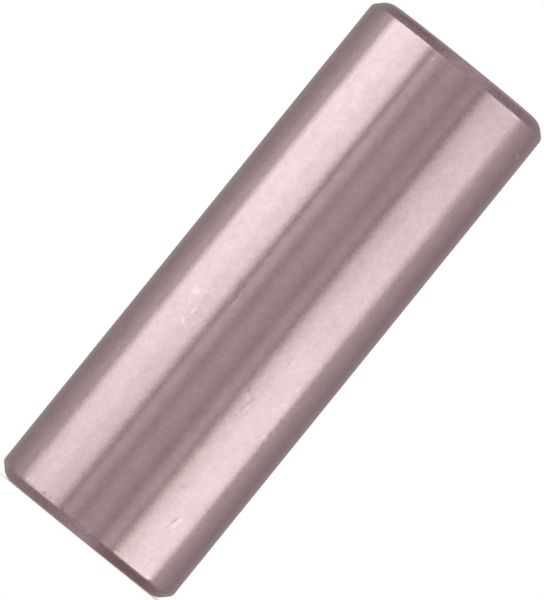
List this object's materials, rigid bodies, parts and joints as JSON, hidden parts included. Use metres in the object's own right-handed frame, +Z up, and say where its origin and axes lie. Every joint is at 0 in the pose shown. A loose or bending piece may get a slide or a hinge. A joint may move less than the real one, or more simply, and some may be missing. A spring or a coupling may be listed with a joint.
{
  "type": "gudgeon pin",
  "caption": "Hollow cylindrical gudgeon pin, ground on the outside, with chamfered and rolled lead-in edges at both ends and a plain through bore.",
  "frame": {"origin": "centre of the lower end face, where the pin stands", "axes": "+Z up along the pin's axis; X and Y are any two directions across it, as the pin is round"},
  "size_m": [0.022, 0.022, 0.062],
  "materials": {
    "ground_steel": null
  },
  "bodies": {
    "root": {"gudgeon_pin": "ground_steel"}
  },
  "joints": []
}
